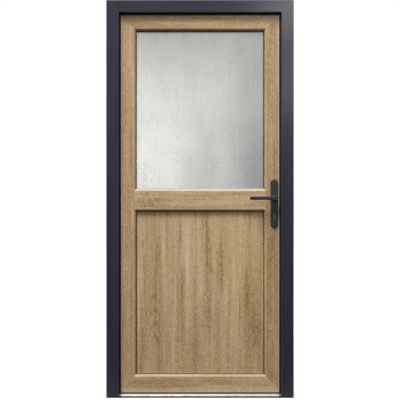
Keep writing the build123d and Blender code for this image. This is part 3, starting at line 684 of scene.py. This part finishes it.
# The panel gasket's brown, deepened in red as painted warm bounce light in its shaded groove
brown_bounce_seal_finish = rubber_seal("brown_bounce_seal", SEAL_BROWN_AND_BOUNCE, SEAL_BROWN_WORN_AND_BOUNCE)
glass_seal_finish = rubber_seal("glass_seal", SEAL_BLACK, SEAL_WORN, GLASS_SEAL_FOOT)
handle_finish = powder_coat("handle_black", BLACK_COAT, 0.36)
hinge_finish = powder_coat("hinge_black", BLACK_COAT, 0.42)
cap_finish = powder_coat("cap_grey", CAP_GREY, 0.5)
steel_finish = brushed_metal("lock_steel", STEEL, 0.32, False)
SHARED_FINISHES = {
    "black_seal": seal_finish,
    "brush_pile": seal_finish,
    "obscure_glass": obscure_glass(),
    "clear_glass": clear_glass(),
    "spacer_bar": powder_coat("spacer_bar", SPACER_GREY, 0.5),
    "threshold_aluminium": brushed_metal("threshold_aluminium", ALUMINIUM, 0.38, True, 0.95),
    "lock_steel": steel_finish,
    "cylinder_nickel": brushed_metal("cylinder_nickel", NICKEL, 0.30, False),
    "handle_black": handle_finish,
    "hinge_black": hinge_finish,
}
# Pieces whose finish differs a little from the rest of their kind
OWN_FINISHES = {
    "glass_gasket_outside": glass_seal_finish,
    "panel_gasket_outside": brown_bounce_seal_finish,
}


def finish_nodes():
    """Gives every carried-over node the material of its slot."""
    for number, row in enumerate(frame["record"]["subparts"]):
        name, slot = row["node"], row["material_slot"]
        offset = PATTERN_STEP * number
        turned = any(word in name for word in LEVEL_WORDS)
        if slot == "oak_foil":
            finish = oak_foil(f"oak_{name}", offset, turned, name == "infill_panel")
        elif slot == "anthracite_foil":
            finish = grey_foil(f"grey_{name}", offset, turned)
        elif name in OWN_FINISHES:
            finish = OWN_FINISHES[name]
        else:
            finish = SHARED_FINISHES[slot]
        piece = frame["nodes"][name]
        piece.data.materials.clear()
        piece.data.materials.append(finish)


def put(name, data):
    """A new object in the scene, at the origin."""
    made = bpy.data.objects.new(name, data)
    bpy.context.scene.collection.objects.link(made)
    return made


def new_piece(name, mesh, body):
    """A finished piece at the origin, riding on one body."""
    made = put(name, mesh)
    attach(made, body)
    return made


def wall(made, first, second):
    """Joins two equal rings of vertices by a ring of faces."""
    for k in range(len(first)):
        following = (k + 1) % len(first)
        made.faces.new((first[k], first[following], second[following], second[k]))


def mesh_of(name, made):
    mesh = bpy.data.meshes.new(name)
    made.to_mesh(mesh)
    made.free()
    return mesh


# The cast relief on the outer pane: pebbles, and waves that run along Z
RELIEF_STEP = 0.0034
RELIEF_DEPTH = 0.00035
PEBBLE_SCALE, PEBBLE_SHARE, PEBBLE_SLICE = 118.0, 0.42, 0.3
WAVE_ACROSS, WAVE_ALONG, WAVE_SHARE, WAVE_SLICE = 16.0, 5.0, 0.25, 7.1


def relief_pane():
    """The outer pane, with its cast relief modelled in its outside face."""
    low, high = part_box("glass_outer_pane")
    count_x = round((high.x - low.x) / RELIEF_STEP)
    count_z = round((high.z - low.z) / RELIEF_STEP)
    made = bmesh.new()
    rows = []
    for j in range(count_z + 1):
        z = low.z + (high.z - low.z) * j / count_z
        row = []
        for i in range(count_x + 1):
            x = low.x + (high.x - low.x) * i / count_x
            pebble = noise.noise(Vector((x, PEBBLE_SLICE, z)) * PEBBLE_SCALE)
            wave = noise.noise(Vector((x * WAVE_ACROSS, WAVE_SLICE, z * WAVE_ALONG)))
            share = min(max(0.5 + PEBBLE_SHARE * pebble + WAVE_SHARE * wave, 0.0), 1.0)
            row.append(made.verts.new((x, low.y + RELIEF_DEPTH * share, z)))
        rows.append(row)
    for j in range(count_z):
        for i in range(count_x):
            corners = (rows[j][i], rows[j][i + 1], rows[j + 1][i + 1], rows[j + 1][i])
            made.faces.new(corners)
    rim = rows[0] + [row[-1] for row in rows[1:]]
    rim += rows[-1][-2::-1] + [row[0] for row in rows[-2:0:-1]]
    back = [made.verts.new((vert.co.x, high.y, vert.co.z)) for vert in rim]
    wall(made, back, rim)
    made.faces.new(reversed(back))
    for face in made.faces:
        face.smooth = len(face.verts) == 4
    bmesh.ops.recalc_face_normals(made, faces=made.faces)
    mesh = mesh_of("obscure_pane", made)
    mesh.materials.append(SHARED_FINISHES["obscure_glass"])
    pane = new_piece("obscure_pane", mesh, "leaf")
    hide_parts("glass_outer_pane")


# The plastic caps at the threshold's ends
CAP_WIDTH = 0.0125
CAP_PROUD = 0.0008
CAP_NOSE = 0.0105
CAP_SLOPE = 0.012
CAP_DEPTH = 0.019
CAP_BEVEL = 0.0006


def threshold_cap(side):
    """A moulded cap that ends the threshold's nose against one jamb."""
    front = FRAME_FRONT
    profile = [
        (front, 0.0),
        (front, CAP_NOSE + CAP_PROUD),
        (front + CAP_SLOPE, THRESHOLD_TOP + CAP_PROUD),
        (front + CAP_DEPTH, THRESHOLD_TOP + CAP_PROUD),
        (front + CAP_DEPTH, 0.0),
    ]
    outer, inner = side * FRAME_LIP_X, side * (FRAME_LIP_X - CAP_WIDTH)
    made = bmesh.new()
    ends = [[made.verts.new((x, y, z)) for y, z in profile] for x in (outer, inner)]
    wall(made, *ends)
    made.faces.new(ends[0])
    made.faces.new(reversed(ends[1]))
    bmesh.ops.recalc_face_normals(made, faces=made.faces)
    bmesh.ops.bevel(made, geom=made.edges[:], offset=CAP_BEVEL, segments=2, affect="EDGES")
    name = "threshold_cap_right" if side > 0 else "threshold_cap_left"
    mesh = mesh_of(name, made)
    mesh.materials.append(cap_finish)
    new_piece(name, mesh, "frame")


# Screw heads of radius 1: the radius and height of each ring, and the cross recess
HEAD_SIDES = 16
HEAD_TOP = 0.42
HEAD_RINGS = ((1.0, 0.0), (1.0, 0.16), (0.86, 0.34), (0.62, HEAD_TOP))
CROSS_LONG, CROSS_WIDE, CROSS_DEEP, CROSS_TAPER = 0.52, 0.13, 0.30, 0.8


def screw_head():
    """A low domed head of radius 1 with a cross recess, facing +Z."""
    made = bmesh.new()
    rings = []
    for radius, height in HEAD_RINGS:
        ring = []
        for k in range(HEAD_SIDES):
            angle = 2 * math.pi * k / HEAD_SIDES
            x, y = radius * math.cos(angle), radius * math.sin(angle)
            ring.append(made.verts.new((x, y, height)))
        rings.append(ring)
    for lower, upper in zip(rings, rings[1:]):
        wall(made, lower, upper)
    a, b = CROSS_LONG, CROSS_WIDE
    cross = [(a, -b), (a, b), (b, b), (b, a), (-b, a), (-b, b)]
    cross += [(-x, -y) for x, y in cross]
    lip = [made.verts.new((x, y, HEAD_TOP)) for x, y in cross]
    depth, share = HEAD_TOP - CROSS_DEEP, CROSS_TAPER
    floor = [made.verts.new((x * share, y * share, depth)) for x, y in cross]
    edges = []
    for loop in (rings[-1], lip):
        for k, vert in enumerate(loop):
            pair = (vert, loop[(k + 1) % len(loop)])
            edges.append(made.edges.get(pair) or made.edges.new(pair))
    bmesh.ops.triangle_fill(made, use_beauty=True, edges=edges)
    wall(made, floor, lip)
    made.faces.new(floor)
    made.faces.new(reversed(rings[0]))
    bmesh.ops.recalc_face_normals(made, faces=made.faces)
    return put("screw_head", mesh_of("screw_head", made))


def geometry_group(name, kinds):
    """A geometry node group that takes and gives a mesh, with more inputs of these kinds."""
    tree = bpy.data.node_groups.new(name, "GeometryNodeTree")
    tree.interface.new_socket("Geometry", in_out="INPUT", socket_type="NodeSocketGeometry")
    names = {}
    for socket, kind in kinds.items():
        made = tree.interface.new_socket(socket, in_out="INPUT", socket_type=kind)
        names[socket] = made.identifier
    tree.interface.new_socket("Geometry", in_out="OUTPUT", socket_type="NodeSocketGeometry")
    start = tree.nodes.new("NodeGroupInput")
    end = tree.nodes.new("NodeGroupOutput")
    return tree, start.outputs, end.inputs, names


def end_in_faces(tree, instances, finish, end):
    """Ends a group in plain faces with one material."""
    real = add(tree, "GeometryNodeRealizeInstances", inputs={"Geometry": instances}).outputs[0]
    inputs = {"Geometry": real, "Material": finish}
    done = add(tree, "GeometryNodeSetMaterial", inputs=inputs).outputs["Geometry"]
    tree.links.new(done, end["Geometry"])


def screw_group():
    """Puts a head on every point, each turned about itself at random."""
    kinds = {"Head": OBJECT, "Radius": FLOAT, "Facing": VECTOR}
    kinds |= {"Seed": INTEGER, "Finish": MATERIAL}
    tree, start, end, names = geometry_group("screw_rows", kinds)
    info = add(tree, "GeometryNodeObjectInfo", inputs={"Object": start["Head"]})
    inputs = {3: 2 * math.pi, "Seed": start["Seed"]}
    angle = add(tree, "FunctionNodeRandomValue", {"data_type": "FLOAT"}, inputs).outputs[1]
    spin = combined(tree, Z=angle)
    inputs = {
        "Points": start["Geometry"],
        "Instance": info.outputs["Geometry"],
        "Rotation": start["Facing"],
        "Scale": start["Radius"],
    }
    placed = add(tree, "GeometryNodeInstanceOnPoints", inputs=inputs).outputs["Instances"]
    inputs = {"Instances": placed, "Rotation": spin}
    turned = add(tree, "GeometryNodeRotateInstances", inputs=inputs).outputs["Instances"]
    end_in_faces(tree, turned, start["Finish"], end)
    return tree, names


def grown(name, points, group, names, values):
    """The plain mesh that a geometry node group makes of some points."""
    source = bpy.data.meshes.new(name + "_points")
    source.from_pydata(points, [], [])
    holder = put(name + "_points", source)
    modifier = holder.modifiers.new("made", "NODES")
    modifier.node_group = group
    for socket, value in values.items():
        modifier[names[socket]] = value
    holder.update_tag()
    bpy.context.view_layer.update()
    evaluated = holder.evaluated_get(bpy.context.evaluated_depsgraph_get())
    mesh = bpy.data.meshes.new_from_object(evaluated)
    mesh.name = name
    holder.modifiers.remove(modifier)
    bpy.data.objects.remove(holder)
    return mesh


# Which way a head faces
INWARD = (-math.pi / 2, 0.0, 0.0)
TO_RIGHT = (0.0, math.pi / 2, 0.0)
TO_LEFT = (0.0, -math.pi / 2, 0.0)

# Hinge screws: their levels about a hinge's middle, how far in they are from a plate's
# edge, and the depth at which their heads start
HINGES = ("lower", "middle", "upper")
HINGE_SCREWS = (-0.038, -0.013, 0.013, 0.038)
FRAME_SCREW_INSET, FRAME_SCREW_DEPTH = 0.0055, 0.0388
LEAF_SCREW_INSET, LEAF_SCREW_DEPTH = 0.009, LEAF_BACK + 0.0038
# The other screws: their distance from a plate's ends, their levels up the faceplate,
# and how far their heads are sunk
KEEP_SCREW_INSET, HANDLE_SCREW_INSET = 0.011, 0.018
FACEPLATE_LEVELS = (0.166, 0.330, 0.560, 0.790, 0.905, 1.130, 1.340, 1.490, 1.700, 1.878)
FACEPLATE_SINK, HANDLE_SINK = 0.0003, 0.0004


def hinge_points(half, x, y):
    """The places of one half's screws on all the hinges."""
    points = []
    for hinge in HINGES:
        low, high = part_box(f"hinge_{hinge}_{half}_half")
        middle = (low.z + high.z) / 2
        points += [(x, y, middle + step) for step in HINGE_SCREWS]
    return points


def screw_rows():
    """Every row of screws: piece name, body, slot, finish, facing, radius and points."""
    frame_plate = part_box("hinge_upper_frame_half")[0]
    leaf_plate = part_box("hinge_upper_leaf_half")[1]
    on_frame = hinge_points("frame", frame_plate.x + FRAME_SCREW_INSET, FRAME_SCREW_DEPTH)
    on_leaf = hinge_points("leaf", leaf_plate.x - LEAF_SCREW_INSET, LEAF_SCREW_DEPTH)
    on_keeps = []
    for keep in ("keep_lower", "keep_centre", "keep_upper"):
        low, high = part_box(keep)
        for z in (low.z + KEEP_SCREW_INSET, high.z - KEEP_SCREW_INSET):
            on_keeps.append((low.x, (low.y + high.y) / 2, z))
    low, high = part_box("lock_faceplate")
    on_face = [(high.x - FACEPLATE_SINK, (low.y + high.y) / 2, z) for z in FACEPLATE_LEVELS]
    low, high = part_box("handle_plate_inside")
    handle_levels = (low.z + HANDLE_SCREW_INSET, high.z - HANDLE_SCREW_INSET)
    on_handle = [((low.x + high.x) / 2, high.y - HANDLE_SINK, z) for z in handle_levels]
    black, steel = "hinge_black", "lock_steel"
    return [
        ("hinge_screws_frame", "frame", black, hinge_finish, INWARD, 0.0030, on_frame),
        ("hinge_screws_leaf", "leaf", black, hinge_finish, INWARD, 0.0036, on_leaf),
        ("keep_screws", "frame", steel, steel_finish, TO_LEFT, 0.0042, on_keeps),
        ("faceplate_screws", "leaf", steel, steel_finish, TO_RIGHT, 0.0040, on_face),
        ("handle_screws", "leaf", "handle_black", handle_finish, INWARD, 0.0042, on_handle),
    ]


FIRST_SEED = 11


def add_screws():
    """Sets every row of screws; each piece is one row."""
    head = screw_head()
    group, names = screw_group()
    for seed, (name, body, slot, finish, facing, radius, points) in enumerate(screw_rows()):
        values = {
            "Head": head,
            "Radius": radius,
            "Facing": facing,
            "Seed": FIRST_SEED + seed,
            "Finish": finish,
        }
        new_piece(name, grown(name, points, group, names, values), body)
    bpy.data.objects.remove(head)


# A bristle's turn, tip down, and the same with the most that it is turned about itself
HANGING = (math.pi, 0.0, 0.0)
HANGING_TURNED = (math.pi, 0.0, 6.0)


def bristle_group():
    """Rows of thin bristles on a grid of points, each leaning at random."""
    kinds = {"Length": FLOAT, "Depth": FLOAT, "Pitch": FLOAT, "Rows": INTEGER}
    kinds |= {"Bristle": FLOAT, "Radius": FLOAT, "Lean": FLOAT}
    kinds |= {"Seed": INTEGER, "Finish": MATERIAL}
    tree, start, end, names = geometry_group("brush_bristles", kinds)
    count = maths(tree, "ADD", maths(tree, "DIVIDE", start["Length"], start["Pitch"]), 1.0)
    inputs = {
        "Size X": start["Length"],
        "Size Y": start["Depth"],
        "Vertices X": count,
        "Vertices Y": start["Rows"],
    }
    grid = add(tree, "GeometryNodeMeshGrid", inputs=inputs).outputs["Mesh"]
    inputs = {
        "Vertices": 3,
        "Side Segments": 1,
        "Radius Top": times(tree, start["Radius"], 0.5),
        "Radius Bottom": start["Radius"],
        "Depth": start["Bristle"],
    }
    bristle = add(tree, "GeometryNodeMeshCone", {"fill_type": "NONE"}, inputs).outputs["Mesh"]
    lean = start["Lean"]
    back = times(tree, lean, -1.0)
    low = vector_maths(tree, "ADD", combined(tree, X=back, Y=back), HANGING)
    high = vector_maths(tree, "ADD", combined(tree, X=lean, Y=lean), HANGING_TURNED)
    leaning = add(
        tree,
        "FunctionNodeRandomValue",
        {"data_type": "FLOAT_VECTOR"},
        {0: low, 1: high, "Seed": start["Seed"]},
    ).outputs[0]
    placed = add(
        tree,
        "GeometryNodeInstanceOnPoints",
        inputs={"Points": grid, "Instance": bristle, "Rotation": leaning},
    ).outputs["Instances"]
    end_in_faces(tree, placed, start["Finish"], end)
    return tree, names


BRUSH_HOLDER = 0.0014
HOLDER_BEVEL = 0.0003
BRUSH_ENDS = 0.004
BRUSH_SEED = 5
BRISTLE_PITCH = 0.0013
BRISTLE_ROWS = 5
BRISTLE_RADIUS = 0.00028
BRISTLE_LEAN = 0.20
BRISTLE_SINK = 0.0001


def add_brush():
    """The leaf's foot brush: a holder strip with its bristles, in place of the plain bar."""
    low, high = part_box("bottom_brush")
    group, names = bristle_group()
    drop = high.z - BRUSH_HOLDER - low.z
    values = {
        "Length": high.x - low.x - BRUSH_ENDS,
        "Depth": (high.y - low.y) * 0.5,
        "Pitch": BRISTLE_PITCH,
        "Rows": BRISTLE_ROWS,
        "Bristle": drop * 1.04,
        "Radius": BRISTLE_RADIUS,
        "Lean": BRISTLE_LEAN,
        "Seed": BRUSH_SEED,
        "Finish": seal_finish,
    }
    mesh = grown("foot_brush", [(0.0, 0.0, 0.0)], group, names, values)
    made = bmesh.new()
    made.from_mesh(mesh)
    centre = (low + high) / 2
    top = high.z - BRUSH_HOLDER + BRISTLE_SINK
    bmesh.ops.translate(made, verts=made.verts[:], vec=(centre.x, centre.y, top))
    holder = bmesh.ops.create_cube(made, size=1.0)["verts"]
    for vert in holder:
        vert.co.x = centre.x + vert.co.x * (high.x - low.x)
        vert.co.y = centre.y + vert.co.y * (high.y - low.y)
        vert.co.z = high.z - BRUSH_HOLDER / 2 + vert.co.z * BRUSH_HOLDER
    edges = [edge for edge in made.edges if edge.verts[0] in holder and edge.verts[1] in holder]
    bmesh.ops.bevel(made, geom=edges, offset=HOLDER_BEVEL, segments=1, affect="EDGES")
    made.to_mesh(mesh)
    made.free()
    brush = new_piece("foot_brush", mesh, "leaf")
    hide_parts("bottom_brush")


def stage_plane(name, corners, finish):
    """A flat surface for the staging."""
    mesh = bpy.data.meshes.new(name)
    mesh.from_pydata(corners, [], [(0, 1, 2, 3)])
    mesh.materials.append(finish)
    return put(name, mesh)


def end_in_mix(tree, share, first, second):
    """Ends a material in a mix of two shaders."""
    mixed = add(tree, "ShaderNodeMixShader", inputs={0: share, 1: first, 2: second})
    tree.links.new(mixed.outputs[0], tree.nodes["Material Output"].inputs["Surface"])


FLOOR_HALF = 9.0
FLOOR_WHITE_SHARE = 0.86
FLOOR_SEEN = (0.85, 0.85, 0.85, 1)
FLOOR_UNSEEN = (0.055, 0.055, 0.053, 1)


def stage_floor():
    """A floor that the camera sees as white under the door's soft shadow, dark to the rest."""
    made, tree, shader = new_material("floor_white")
    path = add(tree, "ShaderNodeLightPath").outputs
    seen = maths(tree, "MAXIMUM", path["Is Camera Ray"], path["Is Transmission Ray"])
    colour = blend(tree, seen, FLOOR_UNSEEN, FLOOR_SEEN)
    tree.links.new(colour, shader.inputs["Base Color"])
    shader.inputs["Roughness"].default_value = 0.9
    shader.inputs["Specular IOR Level"].default_value = 0.0
    white = add(tree, "ShaderNodeEmission", inputs={"Color": WHITE, "Strength": 1.0})
    share = times(tree, seen, FLOOR_WHITE_SHARE)
    end_in_mix(tree, share, shader.outputs[0], white.outputs[0])
    half = FLOOR_HALF
    corners = [(-half, -half, 0.0), (half, -half, 0.0), (half, half, 0.0), (-half, half, 0.0)]
    floor = stage_plane("floor", corners, made)


# What the glass shows: its place, and its colours at the glass's foot and above, in the
# middle and by the lock, where it is brightest, and how cool its foot is
ROOM_GAP, ROOM_HALF, ROOM_HEIGHT = 0.10, 1.6, 2.6
ROOM_GREY, ROOM_GREY_ABOVE = (0.785, 0.775, 0.742, 1), (0.515, 0.508, 0.484, 1)
ROOM_DIM, ROOM_DIM_ABOVE = (0.415, 0.415, 0.405, 1), (0.350, 0.347, 0.330, 1)
ROOM_BRIGHT = (1.155, 1.14, 1.10, 1)
ROOM_COOL = (0.93, 0.98, 1.06, 1)


def stage_room():
    """What the glass shows: a pale room, brightest low on the left, seen by no camera."""
    made, tree, shader = new_material("room_light")
    tree.nodes.remove(shader)
    parts = split(tree, object_place(tree))
    across, up = parts["X"], parts["Z"]
    level = smooth(tree, up, 1.10, 2.05)
    width = scaled(tree, level, 0.34, 0.08)
    edge = scaled(tree, level, 0.12, -0.085)
    beside = maths(tree, "DIVIDE", maths(tree, "SUBTRACT", across, edge), width)
    glow_side = smooth(tree, beside, -1.0, 1.0, 1.0, 0.0)
    rise = smooth(tree, up, 1.32, 2.02, 1.0, 0.08)
    foot = smooth(tree, up, 1.05, 1.22, 0.78, 1.0)
    share = times(tree, times(tree, glow_side, rise), foot)
    dim = smooth(tree, across, 0.12, 0.31)
    dim = times(tree, dim, smooth(tree, up, 1.15, 1.55, 1.0, 0.75))
    grey = blend(tree, dim, ROOM_GREY, ROOM_DIM)
    above = blend(tree, dim, ROOM_GREY_ABOVE, ROOM_DIM_ABOVE)
    grey = blend(tree, smooth(tree, up, 1.55, 2.02), grey, above)
    colour = blend(tree, share, grey, ROOM_BRIGHT)
    cool = smooth(tree, up, 1.08, 1.18, 0.6, 0.0)
    colour = blend(tree, cool, colour, ROOM_COOL, "MULTIPLY")
    strength = smooth(tree, across, -0.35, -0.17, 1.04, 1.0)
    glow = add(tree, "ShaderNodeEmission", inputs={"Color": colour, "Strength": strength})
    clear = add(tree, "ShaderNodeBsdfTransparent")
    through = add(tree, "ShaderNodeLightPath").outputs["Is Transmission Ray"]
    end_in_mix(tree, through, clear.outputs[0], glow.outputs[0])
    half, top, y = ROOM_HALF, ROOM_HEIGHT, LEAF_BACK + ROOM_GAP
    corners = [(-half, y, 0.0), (-half, y, top), (half, y, top), (half, y, 0.0)]
    room = stage_plane("room_light", corners, made)


# The strength of the world's soft light and of what shiny faces show, below and above
SKY_LOW, SKY_HIGH = 0.10, 1.25
GLOSS_LOW, GLOSS_HIGH = 0.06, 1.0


def set_world():
    """Soft light from above; white where the camera or glass looks past the door."""
    world = bpy.data.worlds.new("studio")
    bpy.context.scene.world = world
    world.use_nodes = True
    tree = world.node_tree
    way = split(tree, add(tree, "ShaderNodeTexCoord").outputs["Generated"])
    path = add(tree, "ShaderNodeLightPath").outputs
    soft = smooth(tree, way["Z"], -0.25, 0.95, SKY_LOW, SKY_HIGH)
    gloss = smooth(tree, way["Z"], -0.42, 0.46, GLOSS_LOW, GLOSS_HIGH)
    through = path["Is Transmission Ray"]
    gloss = times(tree, gloss, maths(tree, "MAXIMUM", path["Is Glossy Ray"], through))
    beyond = times(tree, through, smooth(tree, way["Y"], -0.05, 0.05))
    seen = maths(tree, "MAXIMUM", path["Is Camera Ray"], beyond)
    strength = maths(tree, "MAXIMUM", seen, maths(tree, "MAXIMUM", soft, gloss))
    sky = tree.nodes["Background"]
    sky.inputs["Color"].default_value = WHITE
    tree.links.new(strength, sky.inputs["Strength"])


def aimed(name, data, way):
    """A lamp whose light travels one way."""
    lamp = put(name, data)
    lamp.rotation_euler = Vector(way).to_track_quat("-Z", "Y").to_euler()
    lamp.visible_camera = False
    lamp.visible_transmission = False
    return lamp


def sun_light(name, way, strength, angle, colour):
    """A distant lamp; its angle is how wide it looks, in radians."""
    data = bpy.data.lights.new(name, "SUN")
    data.energy = strength
    data.angle = angle
    data.color = colour
    aimed(name, data, way)


def area_light(name, place, target, size, power):
    """A round lamp aimed at a target; returns its data."""
    data = bpy.data.lights.new(name, "AREA")
    data.shape = "DISK"
    data.size = size
    data.energy = power
    lamp = aimed(name, data, Vector(target) - Vector(place))
    lamp.location = place
    return data


def set_lights():
    """A soft key from high on the left, one from behind, and a sheen down the right jamb."""
    warm, white = (1.0, 0.985, 0.955), (1, 1, 1)
    sun_light("key_light", (0.58, 1.0, -2.0), strength=4.16, angle=0.30, colour=warm)
    sun_light("back_light", (-0.5, -1.0, -0.9), strength=1.6, angle=0.5, colour=white)
    area_light("high_light", (-0.7, -1.5, 5.2), (0, 0, 1.5), size=1.8, power=56.0)
    for name, place, target, size, power in (
        ("sheen_light", (0.68, -1.385, 2.49), (0.47, 0, 2.02), 0.37, 4.8),
        ("low_sheen_light", (0.69, -1.385, 1.89), (0.46, 0, 1.62), 0.40, 2.4),
    ):
        area_light(name, place, target, size, power).diffuse_factor = 0.0


def set_camera():
    """The camera at the photograph's viewpoint."""
    data = bpy.data.cameras.new("camera")
    data.lens = CAMERA_LENS
    data.sensor_width = SENSOR
    data.dof.use_dof = False
    camera = put("camera", data)
    camera.location = (0, FRAME_FRONT - CAMERA_DISTANCE, CAMERA_HEIGHT)
    camera.rotation_euler = (math.radians(90), 0, 0)
    bpy.context.scene.camera = camera


bpy.context.scene.view_settings.view_transform = "Standard"
set_camera()
set_world()
set_lights()
stage_floor()
stage_room()
finish_nodes()
relief_pane()
for side in (-1, 1):
    threshold_cap(side)
add_screws()
add_brush()
